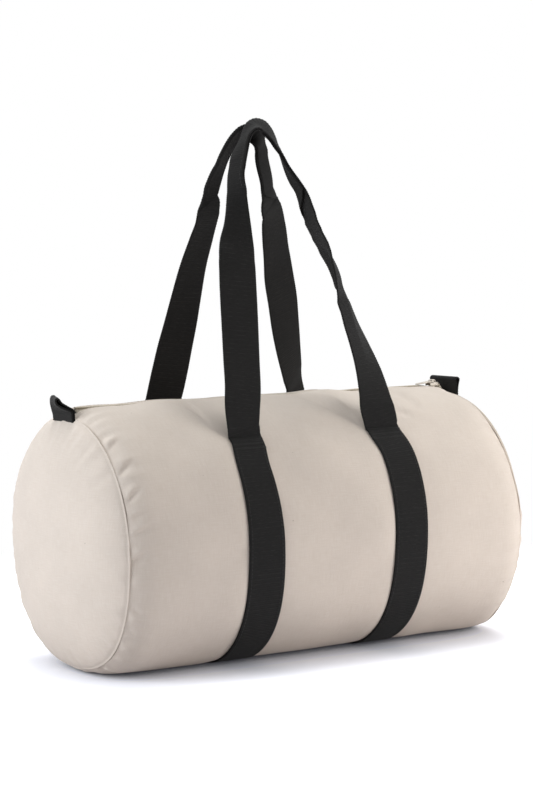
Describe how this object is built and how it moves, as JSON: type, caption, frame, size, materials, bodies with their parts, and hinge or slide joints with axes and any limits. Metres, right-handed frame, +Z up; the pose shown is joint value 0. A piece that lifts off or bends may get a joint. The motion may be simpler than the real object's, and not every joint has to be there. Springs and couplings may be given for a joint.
{
  "type": "barrel bag",
  "caption": "Round canvas barrel bag with a zip along the top, carry handles of webbing that run under the bag as straps, and a webbing tab at each end.",
  "frame": {"origin": "on the surface that the bag stands on, under the middle of the bag", "axes": "+X along the bag's length towards its right end, +Y from front to back, +Z up; the front, which the picture shows, is at -Y"},
  "size_m": [0.49, 0.2572, 0.5165],
  "materials": {
    "canvas": "undyed plain-weave cotton canvas",
    "webbing": "black ribbed polypropylene webbing",
    "zip_tape": "beige woven zip tape",
    "zip_coil": "beige nylon coil",
    "slider_metal": "beige lacquered zinc",
    "binding": "undyed cotton binding tape",
    "thread": "black polyester thread"
  },
  "bodies": {
    "bag": {"main_panel": "canvas", "end_panel_left": "canvas", "end_panel_right": "canvas", "seam_binding_left": "binding", "seam_binding_right": "binding", "zip_end_left": "zip_tape", "zip_end_right": "zip_tape", "base_strap_left": "webbing", "base_strap_right": "webbing", "bar_tacks_front": "thread", "bar_tacks_back": "thread"},
    "mouth_front": {"mouth_panel_front": "canvas", "zip_tape_front": "zip_tape", "zip_teeth_front": "zip_coil"},
    "mouth_back": {"mouth_panel_back": "canvas", "zip_tape_back": "zip_tape", "zip_teeth_back": "zip_coil"},
    "slider": {"zip_slider": "slider_metal"},
    "pull": {"zip_pull": "slider_metal"},
    "front_handle": {"handle_front": "webbing"},
    "back_handle": {"handle_back": "webbing"},
    "left_tab": {"tab_left": "webbing"},
    "right_tab": {"tab_right": "webbing"}
  },
  "joints": [
    {"name": "front_handle_swing", "type": "hinge", "parent": "bag", "child": "front_handle", "pos_m": [0, -0.08839, 0.21778], "axis": [1, 0, 0], "range_deg": [0, 122]},
    {"name": "back_handle_swing", "type": "hinge", "parent": "bag", "child": "back_handle", "pos_m": [0, 0.08839, 0.21778], "axis": [-1, 0, 0], "range_deg": [0, 122]},
    {"name": "front_mouth_open", "type": "hinge", "parent": "bag", "child": "mouth_front", "pos_m": [0, -0.05, 0.2392], "axis": [1, 0, 0], "range_deg": [0, 80]},
    {"name": "back_mouth_open", "type": "hinge", "parent": "bag", "child": "mouth_back", "pos_m": [0, 0.05, 0.2392], "axis": [-1, 0, 0], "range_deg": [0, 80]},
    {"name": "zip_slide", "type": "slide", "parent": "bag", "child": "slider", "axis": [-1, 0, 0], "range_m": [0, 0.397]},
    {"name": "pull_flip", "type": "hinge", "parent": "slider", "child": "pull", "pos_m": [0.1985, 0, 0.2534], "axis": [0, 1, 0], "range_deg": [0, 130]},
    {"name": "left_tab_flex", "type": "hinge", "parent": "bag", "child": "left_tab", "pos_m": [-0.2229, 0, 0.24229], "axis": [0, -1, 0], "range_deg": [-40, 45], "stiffness_Nm_per_rad": 0.02},
    {"name": "right_tab_flex", "type": "hinge", "parent": "bag", "child": "right_tab", "pos_m": [0.2229, 0, 0.24229], "axis": [0, 1, 0], "range_deg": [-40, 45], "stiffness_Nm_per_rad": 0.02}
  ]
}
